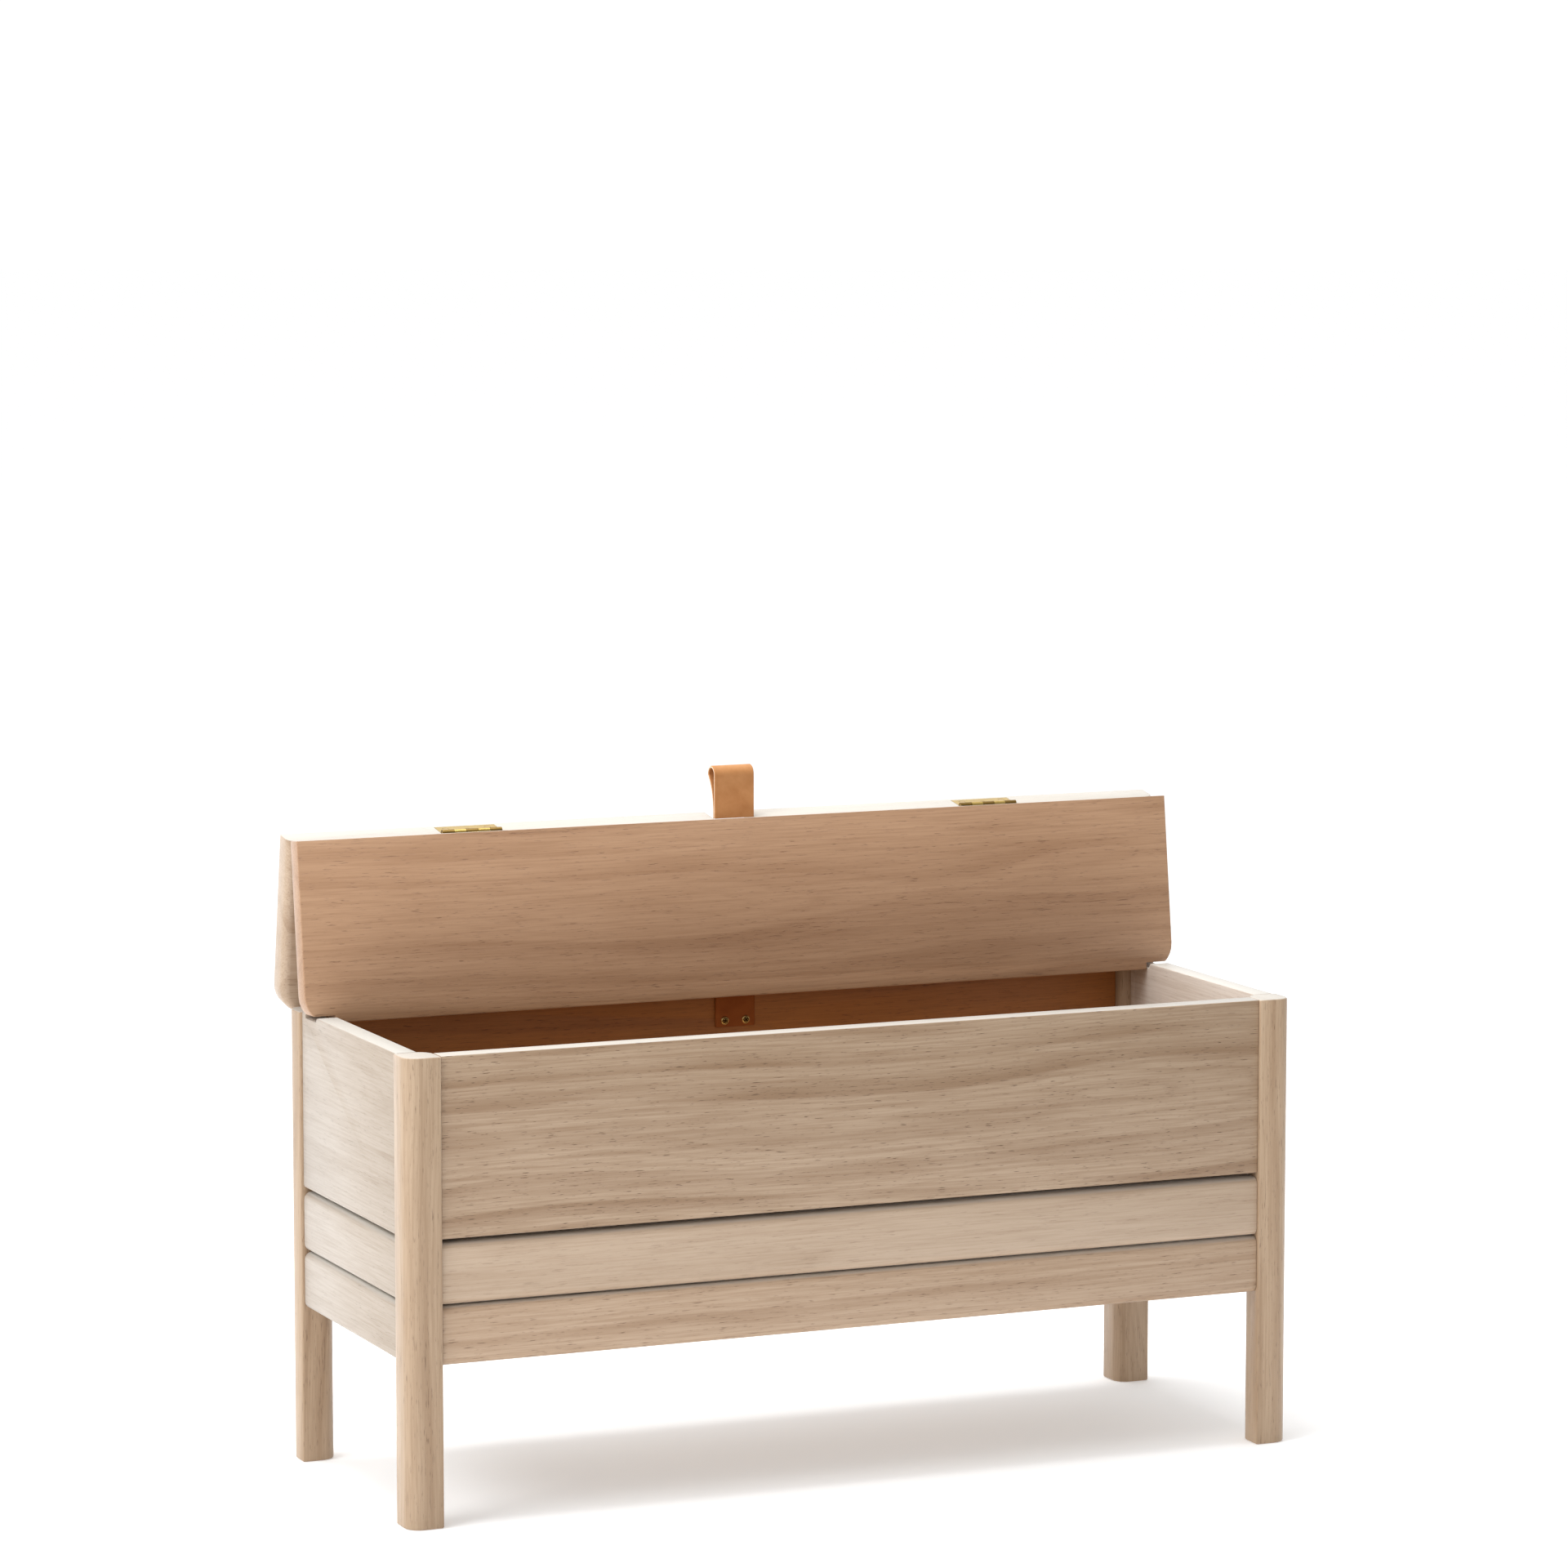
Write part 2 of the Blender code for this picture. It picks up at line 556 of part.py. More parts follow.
def make_rear_hinges(rear_panel, rear_board, frame):
    """Butt hinges behind the rear panel's rim: one leaf on the panel, one under the rear board."""
    lid_nodes = []
    axis = Vector((0, *in_frame(*HINGE_AXIS)))
    turn = frame.to_3x3()
    panel_face = HALF_DEPTH - BOARD_RECESS + MODEL_SHIFT_Y - axis.y
    under_face = -(frame.inverted() @ axis).z
    clear = REAR_BARREL_RADIUS + 2 * GAP
    lid_low = REAR_BARREL_RADIUS - 2 * GAP
    for sign, word in ((-1, "left"), (1, "right")):
        centre = axis + Vector((sign * HINGE_X, 0, 0))
        make_pin(f"rear_hinge_{word}_pin", centre)
        place = basis(centre, Vector((1, 0, 0)), Vector((0, 0, -1)), Vector((0, 1, 0)))
        name = f"rear_hinge_{word}_box_leaf"
        low = panel_face - LEAF_THICKNESS
        make_leaf(name, place, (0, 2, 4), low, panel_face, REAR_BARREL_RADIUS)
        cut_pocket(f"cut_leaf_{name}", rear_panel, place, 0, LEAF_WIDTH + GAP,
                   low - GAP, panel_face + CUT_MARGIN)
        cut_pocket(f"cut_barrel_{name}", rear_panel, place, -CUT_MARGIN, clear,
                   -clear, panel_face + CUT_MARGIN)
        place = basis(centre, turn @ Vector((-1, 0, 0)), turn @ Vector((0, -1, 0)),
                      turn @ Vector((0, 0, 1)))
        name = f"rear_hinge_{word}_lid_leaf"
        lid_high = lid_low + LEAF_THICKNESS
        lid_nodes.append(make_leaf(name, place, (1, 3), lid_low, lid_high, REAR_BARREL_RADIUS))
        cut_pocket(f"cut_leaf_{name}", rear_board, place, -GAP, LEAF_WIDTH + GAP,
                   under_face - CUT_MARGIN, lid_high + GAP)
    return lid_nodes


# ---- leather strap ------------------------------------------------------------------------------
def add_band(bm, centre_line, thickness):
    """Leather of even thickness, as wide as the strap, along an open line of (y, z) points."""
    sides = ([], [])
    for i, point in enumerate(centre_line):
        before = Vector(centre_line[max(i - 1, 0)])
        after = Vector(centre_line[min(i + 1, len(centre_line) - 1)])
        run = (after - before).normalized()
        normal = Vector((-run.y, run.x)) * thickness / 2
        sides[0].append(Vector(point) + normal)
        sides[1].append(Vector(point) - normal)
    outline = sides[0] + list(reversed(sides[1]))
    rings = [[(x, *in_frame(y, z)) for y, z in outline] for x in (-STRAP_WIDTH / 2, STRAP_WIDTH / 2)]
    loft(bm, rings)


def loop_line():
    """The front strand stands straight and the rear one bows back, below a round top."""
    y, z = FOLD_AXIS
    front_y = y + GAP + STRAP_THICKNESS / 2
    foot_gap = STRAP_THICKNESS + STRAND_GAP
    radius = (LOOP_DEPTH - STRAP_THICKNESS) / 2
    shoulder = LOOP_HEIGHT - STRAP_THICKNESS / 2 - radius
    line = [(front_y, z + LOOP_FOOT), (front_y, z + shoulder / 2)]
    top = arc((front_y + radius, z + shoulder), radius, 180, 0, LOOP_STEPS)
    rear = []
    for i in range(1, LOOP_STEPS + 1):
        height = shoulder + (LOOP_FOOT - shoulder) * i / LOOP_STEPS
        bow = (2 * radius - foot_gap) * (height / shoulder) ** LOOP_BOW
        rear.append((front_y + foot_gap + bow, z + height))
    return line + top + rear


def make_strap(rear_panel, rear_board, rear_frame):
    """A tab screwed inside the rear panel, a stay up to the fold, and the loop to pull."""
    bm = bmesh.new()
    add_band(bm, loop_line(), STRAP_THICKNESS)
    loop = add_object("strap_loop", bm, LEATHER, smooth=True)

    bm = bmesh.new()
    add_band(bm, [(STAY_Y, STAY_BOTTOM), (STAY_Y, FOLD_AXIS.y - STAY_TOP_DROP)], STRAP_THICKNESS)
    stay = add_object("strap_stay", bm, LEATHER)

    bm = bmesh.new()
    middle = INNER_Y - GAP - STRAP_THICKNESS / 2
    add_band(bm, [(middle, ANCHOR_BOTTOM), (middle, ANCHOR_TOP)], STRAP_THICKNESS)
    anchor = add_object("strap_anchor", bm, LEATHER)
    places = []
    for sign, word in ((-1, "left"), (1, "right")):
        head_y = middle - STRAP_THICKNESS / 2 + STRAP_SCREW_SINK
        head = Vector((sign * STRAP_SCREW_SPACING / 2, *in_frame(head_y, STRAP_SCREW_HEIGHT)))
        places.append((head, Vector((0, 1, 0))))
        make_screw(f"strap_screw_{word}", head, Vector((0, 1, 0)), STRAP_SCREW_RADIUS)
    for piece in (anchor, rear_panel):
        drill(f"drill_strap_{piece.name}", piece, places, STRAP_SCREW_RADIUS)

    half = STRAP_WIDTH / 2 + STRAP_SLOT_SIDE
    bm = bmesh.new()
    add_box(bm, (-half, -CUT_MARGIN, -CUT_MARGIN),
            (half, STRAP_SLOT_DEPTH, LID_THICKNESS + CUT_MARGIN))
    bmesh.ops.transform(bm, matrix=rear_frame, verts=bm.verts)
    boolean(rear_board, add_tool("cut_strap_slot", bm))
    return loop, stay


def make_bumpers(side, frame):
    """Two round felt pads under a lid board, which carry the closed lid."""
    pads = []
    for sign, word in ((-1, "left"), (1, "right")):
        along = sign * frame[0][0] * BUMPER_X
        start = frame @ Vector((along, LID_BOARD_WIDTH - BUMPER_SETBACK[side], -GAP))
        bm = bmesh.new()
        add_rod(bm, start, frame.to_3x3() @ Vector((0, 0, -1)),
                ((0, BUMPER_RADIUS), (LID_LIFT - 2 * GAP, BUMPER_RADIUS)), ROUND_SEGMENTS)
        pads.append(add_object(f"bumper_{side}_{word}", bm, FELT, smooth=True))
    return pads


def hang_on(empty_name, origin, children, parent=None):
    """An empty on the joint's axis carries the pieces that turn about it."""
    empty = bpy.data.objects.new(empty_name, None)
    bpy.context.scene.collection.objects.link(empty)
    empty.location = origin
    bpy.context.view_layer.update()
    if parent:
        empty.parent = parent
        empty.matrix_parent_inverse = parent.matrix_world.inverted()
    bpy.context.view_layer.update()
    for child in children:
        child.parent = empty
        child.matrix_parent_inverse = empty.matrix_world.inverted()
    return empty


def build():
    boards = make_frame()
    make_floor()
    frames = lid_frames()
    lid = {side: make_lid_board(f"lid_{side}_board", frames[side]) for side in ("front", "rear")}
    cut_foot_clearance(lid["front"])
    ridge = make_ridge_hinges(lid, frames)
    rear_panel = boards[("rear", "tall")]
    lid_leaves = make_rear_hinges(rear_panel, lid["rear"], frames["rear"])
    loop, stay = make_strap(rear_panel, lid["rear"], frames["rear"])
    front_pads = make_bumpers("front", frames["front"])
    rear_pads = make_bumpers("rear", frames["rear"])

    rear_axis = hang_on("rear_hinge_axis", (0, *in_frame(*HINGE_AXIS)),
                        [lid["rear"], stay] + rear_pads + ridge["rear"] + lid_leaves)
    fold_point = (0, *in_frame(*FOLD_AXIS))
    hang_on("fold_axis", fold_point, [lid["front"]] + front_pads + ridge["front"], rear_axis)
    hang_on("strap_axis", fold_point, [loop], rear_axis)


clear_scene()
OAK_BOARD = make_material("oak_board", (0.56, 0.42, 0.29), 0.55)
OAK_LEG = make_material("oak_leg", (0.60, 0.45, 0.31), 0.55)
OAK_LID = make_material("oak_lid", (0.50, 0.34, 0.22), 0.55)
VENEER = make_material("oak_veneer", (0.50, 0.36, 0.24), 0.60)
BRASS = make_material("brass", (0.72, 0.52, 0.20), 0.30, 1.0)
LEATHER = make_material("leather", (0.52, 0.27, 0.11), 0.50)
FELT = make_material("felt", (0.75, 0.72, 0.66), 0.90)
build()
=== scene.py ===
"""Looks of the storage bench: oiled oak, leather strap and brass fittings in a white studio."""
import json
import math

import bmesh
import bpy
from mathutils import Euler, Matrix, Vector

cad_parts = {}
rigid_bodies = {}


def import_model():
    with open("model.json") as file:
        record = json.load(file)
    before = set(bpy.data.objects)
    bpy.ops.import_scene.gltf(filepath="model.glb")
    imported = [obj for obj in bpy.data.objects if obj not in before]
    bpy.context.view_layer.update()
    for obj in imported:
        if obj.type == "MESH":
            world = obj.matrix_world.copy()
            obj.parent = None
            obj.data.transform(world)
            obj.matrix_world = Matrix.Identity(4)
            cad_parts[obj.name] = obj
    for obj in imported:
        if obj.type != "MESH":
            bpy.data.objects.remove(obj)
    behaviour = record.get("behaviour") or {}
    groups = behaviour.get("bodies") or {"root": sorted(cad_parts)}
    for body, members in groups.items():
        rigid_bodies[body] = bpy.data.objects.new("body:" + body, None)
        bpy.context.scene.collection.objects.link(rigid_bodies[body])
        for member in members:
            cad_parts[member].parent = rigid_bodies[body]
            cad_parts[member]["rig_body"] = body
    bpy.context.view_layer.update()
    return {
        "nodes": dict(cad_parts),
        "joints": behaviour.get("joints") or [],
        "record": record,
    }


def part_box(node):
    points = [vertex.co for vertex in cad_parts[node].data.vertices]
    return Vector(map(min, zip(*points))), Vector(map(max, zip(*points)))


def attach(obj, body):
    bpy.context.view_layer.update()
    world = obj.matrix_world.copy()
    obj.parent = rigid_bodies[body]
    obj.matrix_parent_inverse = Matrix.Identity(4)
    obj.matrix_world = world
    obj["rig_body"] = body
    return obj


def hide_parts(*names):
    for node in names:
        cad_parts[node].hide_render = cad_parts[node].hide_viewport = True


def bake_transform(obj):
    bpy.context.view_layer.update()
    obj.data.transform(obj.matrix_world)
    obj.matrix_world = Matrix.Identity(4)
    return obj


for startup_object in list(bpy.data.objects):
    bpy.data.objects.remove(startup_object, do_unlink=True)

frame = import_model()
NODES = frame["nodes"]
JOINTS = {joint["name"]: joint for joint in frame["joints"]}
FOLD = Vector(JOINTS["lid_fold"]["pos_m"])
SLOTS = {part["node"]: part["material_slot"] for part in frame["record"]["subparts"]}
PANEL_REAR_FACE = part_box("panel_rear")[1].y

# ---- sizes, in metres ---------------------------------------------------------------------------
WELD = 0.00002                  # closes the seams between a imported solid's faces
FLAT_ANGLE = math.radians(0.6)  # faces that lie flatter than this become one
EDGE_SOFTENING = 0.0005         # sanded edges of the boards
SMOOTH_ANGLE = math.radians(32)

STRAP_HALF_WIDTH = 0.0205
STRAP_THICKNESS = 0.0024
STRAP_CORNER = 0.0007           # softened long edges of the leather
STRAP_STEP = 0.0025             # spacing of points along the leather
LEATHER_SMOOTH_ANGLE = math.radians(30)
TAB_TOP_MARGIN = 0.0040         # length at the tab's top that eases towards the stay
STAY_THICKNESS = STRAP_THICKNESS * 0.9
STAY_END_DROP = 0.0062          # the stay ends this far below the fold, clear of the closed loop
STAY_GAP = 0.0002               # between the stay and the open front board
STAY_STEPS = 8
FRONT_LEAN = math.radians(7.3)  # the open front board's underside, which the strap passes
LOOP_BOW = 2.8                  # how late the loop's rear strand bows out
LOOP_FOOT = STRAP_THICKNESS * 1.04  # distance between the middles of the two strands at the fold
LOOP_SPACING = STRAP_STEP * 0.6  # the loop's bends need closer points
LOOP_STEPS = 30
LOOP_TURN_STEP = 6              # degrees between points round the top of the loop

STRAP_SCREW_RADIUS = 0.0042
STRAP_SCREW_TURNS = {"left": 0.3, "right": 1.0}  # radians that each cross recess is turned by
HINGE_SCREW_RADIUS = 0.0027
HINGE_SCREWS = ((-0.021, 0.014), (0.0, 0.010), (0.021, 0.014))  # along a rear hinge, and below it
SCREW_SIDES = 32
SCREW_STEPS = 6
SCREW_HEIGHT = 0.34             # these four are shares of the screw's radius or height
RECESS_ARM = 0.60
RECESS_WIDTH = 0.19
RECESS_FLOOR = 0.08

# ---- wood ---------------------------------------------------------------------------------------
OIL_SHEEN = 0.30                # white oil pales the wood where it is seen edge-on
PAINTED_TOP_HIGHLIGHT = 0.65               # painted highlight: faces that look up are mixed this far towards a pale colour
# colour of the painted highlight on upward faces
PAINTED_HIGHLIGHT_COLOUR = (0.62, 0.61, 0.565)
RING_BAND = 0.021               # spacing of the smoky bands
RING_LINE = 0.0034              # spacing of the finer ring lines
RING_WANDER = 0.085             # how far the rings stray along a board, and how far they ripple
RING_RIPPLE = 0.006
HEART_DEPTH = 0.060             # from a board's middle to the heart of its rings
FIRST_SEED = 1.0                # seeds keep the figure of one board from repeating on the next
SEED_STEP = 1.37

DARK_GRAIN = (0.66, 0.57, 0.48)  # shares of a board's own colour
LIGHT_GRAIN = (1.10, 1.13, 1.17)
PORE_GRAIN = (0.30, 0.22, 0.16)

TONES = {                       # board or kind: (colour, strength of its figure)
    "panel_front": ((0.426, 0.302, 0.199), 2.2),
    "middle_slat_front": ((0.490, 0.363, 0.257), 0.45),
    "lower_slat_front": ((0.482, 0.341, 0.230), 1.3),
    # the rear panel's darker, redder tone is painted shade for the inside of the box
    "panel_rear": ((0.420, 0.160, 0.038), 1.0),
    # the right panel's lighter tone is painted light on the inside of the box at its right end
    "panel_right": ((0.640, 0.550, 0.470), 0.5),
    "lid_front_board": ((0.448, 0.262, 0.149), 1.0),
    "lid_rear_board": ((0.491, 0.362, 0.254), 0.8),
    "floor_panel": ((0.400, 0.280, 0.170), 1.0),
    # the side boards' paler, less saturated tone is painted light for the lit left faces
    "side": ((0.440, 0.366, 0.295), 0.6),
    "leg": ((0.461, 0.326, 0.212), 1.1),
    "other": ((0.488, 0.360, 0.244), 1.0),
}

# ---- studio -------------------------------------------------------------------------------------
CAMERA_PLACE = (-2.1616, -4.9740, 1.2685)
CAMERA_YAW = math.radians(23.461)
CAMERA_PITCH = math.radians(6.675)
CAMERA_LENS = 133.43            # millimetres, on a square sensor
SENSOR_WIDTH = 36

FLOOR_RADIUS = 40
FLOOR_DROP = 0.0002             # keeps the floor just under the feet
PAPER_WHITE = 0.90
PAPER_GLOW = 0.26
SURROUND_STRENGTH = 1.08
SURROUND_SLOPE = (-0.35, 0.5, 0.0)  # direction in which the surround grows lighter
SURROUND_STOPS = ((0.0, 0.36), (0.5, 0.78), (0.68, 1.0))
LAMP_SIZE = 2.0
LAMP_AIM = (0, 0, 0.3)
LAMPS = {                       # name: (place, power, colour)
    "key": ((-3.1, -0.9, 3.2), 62, (0.96, 0.98, 1.0)),
    "top": ((-0.3, 0.3, 3.6), 95, (0.95, 0.98, 1.0)),
}


# ---- shader building ----------------------------------------------------------------------------
class Shader:
    """A material's node tree, with short calls to add to it."""

    def __init__(self, name, **surface):
        self.material = bpy.data.materials.new(name)
        self.material.use_nodes = True
        self.tree = self.material.node_tree
        self.surface = self.tree.nodes["Principled BSDF"]
        for socket, value in surface.items():
            self.surface.inputs[socket.replace("_", " ")].default_value = value

    def add(self, kind, inputs=(), output=0, **settings):
        """A new node with its settings and inputs, as one of its output sockets."""
        node = self.tree.nodes.new(kind)
        for setting, value in settings.items():
            setattr(node, setting, value)
        for socket, value in dict(inputs).items():
            self.feed(node.inputs[socket], value)
        return node.outputs[output]

    def feed(self, socket, value):
        if isinstance(value, bpy.types.NodeSocket):
            self.tree.links.new(value, socket)
        else:
            socket.default_value = value

    def maths(self, operation, first, second=0.0):
        return self.add("ShaderNodeMath", {0: first, 1: second}, operation=operation)

    def coordinates(self, kind="Object"):
        return self.add("ShaderNodeTexCoord", output=kind)

    def split(self, vector):
        node = self.tree.nodes.new("ShaderNodeSeparateXYZ")
        self.feed(node.inputs[0], vector)
        return node.outputs[0], node.outputs[1], node.outputs[2]

    def place(self, scale=(1, 1, 1), location=(0, 0, 0), vector=None):
        """Coordinates stretched by a scale, those of the object unless others are given."""
        if vector is None:
            vector = self.coordinates()
        return self.add("ShaderNodeMapping", {"Vector": vector, "Scale": scale,
                                              "Location": location})

    def noise(self, vector, scale, detail=2.0, roughness=0.5):
        return self.add("ShaderNodeTexNoise", {"Vector": vector, "Scale": scale, "Detail": detail,
                                               "Roughness": roughness})

    def ramp(self, value, *stops):
        """Colours or greys at positions, as (position, value) pairs."""
        node = self.tree.nodes.new("ShaderNodeValToRGB")
        self.feed(node.inputs[0], value)
        set_stops(node, stops)
        return node.outputs[0]

    def mix(self, factor, first, second):
        node = self.tree.nodes.new("ShaderNodeMix")
        node.data_type = "RGBA"
        self.feed(node.inputs[0], factor)
        for socket, value in ((node.inputs[6], first), (node.inputs[7], second)):
            self.feed(socket, (*value, 1) if isinstance(value, tuple) else value)
        return node.outputs[2]

    def bump(self, height, distance, strength=1.0):
        normal = self.add("ShaderNodeBump", {"Height": height, "Distance": distance,
                                             "Strength": strength})
        self.feed(self.surface.inputs["Normal"], normal)

    def colour(self, value):
        self.feed(self.surface.inputs["Base Color"], value)

    def roughness(self, value):
        self.feed(self.surface.inputs["Roughness"], value)


def set_stops(node, stops):
    elements = node.color_ramp.elements
    while len(elements) < len(stops):
        elements.new(0.5)
    for element, (position, colour) in zip(elements, stops):
        element.position = position
        element.color = (*colour, 1) if isinstance(colour, tuple) else (colour,) * 3 + (1,)


def shaded(colour, shares):
    return tuple(min(1.0, part * share) for part, share in zip(colour, shares))


# ---- materials ----------------------------------------------------------------------------------
def along_grain(shader, grain):
    """Object coordinates as (along the grain, through the face, up or across the face)."""
    axes = shader.split(shader.coordinates())
    turned = {index: axes["XYZ".index(axis)] for index, axis in enumerate(grain)}
    return shader.add("ShaderNodeCombineXYZ", turned)


def oak(name, colour, grain, seed, heart, strength=1.0, top_highlight_share=PAINTED_TOP_HIGHLIGHT):
    """White-oiled oak.

    The growth rings are slowly wandering tubes about a heart beside the board: a face cuts them
    in long smoky bands. Fine fibres lie along them, and dark pores gather where a ring starts.
    """
    shader = Shader(name, Roughness=0.45, Specular_IOR_Level=0.5,
                    Sheen_Weight=OIL_SHEEN, Sheen_Roughness=0.35)
    here = along_grain(shader, grain)

    def field(along, across, detail=2.0, roughness=0.55, shift=0.0):
        """Noise stretched along the grain, from its frequencies along and across it."""
        start = (seed * 3.7 + shift, seed * 1.9, shift)
        place = shader.place(scale=(along, across, across), location=start, vector=here)
        return shader.noise(place, 1.0, detail, roughness)

    def share(value, amount):
        return shader.maths("MULTIPLY", value, amount)

    # distance from the heart of the rings, bent
    _, through, upward = shader.split(here)
    deep = shader.maths("SUBTRACT", through, heart[0])
    across = shader.maths("SUBTRACT", upward, heart[1])
    radius = shader.maths("SQRT", shader.maths("ADD", share(across, across), share(deep, deep)))
    wander = share(field(1.3, 5.0, 1.0), RING_WANDER)
    ripple = share(field(7.0, 42.0, 2.0, 0.5, 3.0), RING_RIPPLE)
    bent = shader.maths("ADD", radius, shader.maths("ADD", wander, ripple))

    bands = shader.maths("FRACT", shader.maths("DIVIDE", bent, RING_BAND))
    smoke = shader.ramp(bands, (0.0, 0.15), (0.10, 1.0), (0.30, 0.55), (0.75, 0.0), (1.0, 0.15))
    lines = shader.maths("FRACT", shader.maths("DIVIDE", bent, RING_LINE))
    season = shader.ramp(lines, (0.0, 0.2), (0.14, 1.0), (0.50, 0.25), (1.0, 0.2))

    patches = field(3.0, 22.0, 2.0, 0.6, 7.0)
    veil = shader.ramp(patches, (0.36, 0.0), (0.66, 1.0))
    streaks = field(4.5, 170.0, 3.0, 0.6, 11.0)
    fibres = field(17.0, 620.0, 3.0, 0.65, 17.0)
    pores = field(80.0, 1150.0, 2.0, 0.55, 23.0)
    smoky = share(smoke, veil)

    # each layer darkens the one before it
    dark = shaded(colour, DARK_GRAIN)
    light = shaded(colour, LIGHT_GRAIN)
    wood = shader.mix(shader.ramp(patches, (0.30, 0.0), (0.68, 1.0)), light, colour)
    wood = shader.mix(share(smoky, 0.62 * strength), wood, dark)
    wood = shader.mix(share(season, 0.17 * strength), wood, dark)
    wood = shader.mix(shader.ramp(streaks, (0.50, 0.0), (0.74, 0.34 * strength)), wood, dark)
    wood = shader.mix(shader.ramp(fibres, (0.42, 0.0), (0.74, 0.34 + 0.16 * strength)), wood, dark)

    gathered = share(shader.maths("ADD", smoky, season), 0.055)
    specks = shader.ramp(shader.maths("ADD", pores, gathered), (0.66, 0.0), (0.74, 1.0))
    wood = shader.mix(share(specks, 0.55 * strength), wood, shaded(colour, PORE_GRAIN))

    # painted highlight: the wood grows paler where its surface looks up, in place of the light that
    # falls on the top edges
    facing_up = shader.split(shader.coordinates("Normal"))[2]
    painted_top_light = shader.ramp(facing_up, (0.60, 0.0), (0.95, top_highlight_share))
    shader.colour(shader.mix(painted_top_light, wood, PAINTED_HIGHLIGHT_COLOUR))
    shader.roughness(shader.ramp(fibres, (0.2, 0.38), (0.8, 0.54)))
    shader.bump(shader.maths("SUBTRACT", share(fibres, 0.4), specks), 0.00014, 0.6)
    return shader.material


def leather(name, colour, relief=0.00003):
    """Vegetable-tanned leather: cloudy dye, a fine pebble and a matt, slightly fuzzy face."""
    shader = Shader(name, Roughness=0.58, Specular_IOR_Level=0.25)
    clouds = shader.noise(shader.place(), 55.0, 4.0, 0.6)
    pebbles = shader.add("ShaderNodeTexVoronoi", {"Vector": shader.place(), "Scale": 900.0},
                         feature="SMOOTH_F1")
    fuzz = shader.noise(shader.place(), 2200.0, 2.0, 0.6)
    dark = shaded(colour, (0.82, 0.74, 0.66))
    shader.colour(shader.mix(shader.ramp(clouds, (0.35, 0.0), (0.70, 1.0)), colour, dark))
    shader.roughness(shader.ramp(fuzz, (0.2, 0.50), (0.8, 0.64)))
    shader.bump(shader.maths("ADD", pebbles, shader.maths("MULTIPLY", fuzz, 0.3)), relief)
    return shader.material


def brass(name, colour, roughness):
    """Brushed brass with cloudy tarnish."""
    shader = Shader(name, Roughness=roughness, Metallic=1.0)
    brushed = shader.noise(shader.place(scale=(40, 1500, 1500)), 1.0, 2.0, 0.6)
    tarnish = shader.noise(shader.place(), 90.0, 3.0, 0.6)
    dull = shaded(colour, (0.66, 0.60, 0.50))
    shader.colour(shader.mix(shader.ramp(tarnish, (0.4, 0.0), (0.8, 0.6)), colour, dull))
    shader.roughness(shader.ramp(brushed, (0.2, roughness * 0.75), (0.8, roughness * 1.3)))
    shader.bump(brushed, 0.00002)
    return shader.material


def felt(name):
    shader = Shader(name, Roughness=0.95)
    fuzz = shader.noise(shader.place(), 1800.0, 4.0, 0.7)
    shader.colour(shader.ramp(fuzz, (0.3, (0.50, 0.47, 0.42)), (0.7, (0.78, 0.75, 0.70))))
    shader.bump(fuzz, 0.0003)
    return shader.material


# ---- wooden and metal pieces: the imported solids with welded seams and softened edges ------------
def linked(name, data):
    """A new object in the scene."""
    piece = bpy.data.objects.new(name, data)
    bpy.context.scene.collection.objects.link(piece)
    return piece


def mesh_object(name, bm):
    mesh = bpy.data.meshes.new(name)
    bm.to_mesh(mesh)
    bm.free()
    return linked(name, mesh)


def refined(node, material, softening=0.0):
    """A smooth copy of a CAD node that stands for it on the same body."""
    source = NODES[node]
    bm = bmesh.new()
    bm.from_mesh(source.data)
    bmesh.ops.remove_doubles(bm, verts=bm.verts, dist=WELD)
    bmesh.ops.dissolve_limit(bm, angle_limit=FLAT_ANGLE, verts=bm.verts, edges=bm.edges)
    piece = mesh_object(f"{node}_surface", bm)
    piece.data.materials.append(material)
    piece.data.shade_smooth()
    if softening:
        bevel = piece.modifiers.new("Softened edges", "BEVEL")
        bevel.width = softening
        bevel.segments = 2
        bevel.limit_method = "ANGLE"
        bevel.angle_limit = SMOOTH_ANGLE
        bevel.harden_normals = True
    else:
        piece.data.set_sharp_from_angle(angle=SMOOTH_ANGLE)
    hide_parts(node)
    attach(piece, source["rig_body"])


def grain_and_kind(node):
    """A board's axes, along its grain, through its face and across it, and its kind."""
    if node.startswith("leg"):
        return "ZXY", "leg"
    if node.endswith(("left", "right")):
        return "YXZ", "side"
    if node == "floor_panel":
        return "XZY", "other"
    return "XYZ", "other"


def heart_of(node, grain, seed):
    """Place of the rings' heart for one board: off its face, and a little off its middle."""
    low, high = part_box(node)
    middle = (low + high) / 2
    face, across = "XYZ".index(grain[1]), "XYZ".index(grain[2])
    return (middle[face] + HEART_DEPTH * (1 + 0.4 * math.sin(seed * 5)),
            middle[across] + HEART_DEPTH * 0.5 * math.sin(seed * 3))


def board_materials():
    """One material for each board and leg, so that no two show the same figure."""
    table = {}
    seed = FIRST_SEED
    for node, slot in SLOTS.items():
        if not slot.startswith("oak"):
            continue
        seed += SEED_STEP
        grain, kind = grain_and_kind(node)
        tone, strength = TONES.get(node, TONES[kind])
        heart = heart_of(node, grain, seed)
        # the floor panel gets none of the painted top highlight
        pallor = 0 if node == "floor_panel" else PAINTED_TOP_HIGHLIGHT
        table[node] = oak(f"oak_{node}", tone, grain, seed, heart, strength, pallor)
    return table


def make_wood():
    for node, material in board_materials().items():
        refined(node, material, EDGE_SOFTENING)


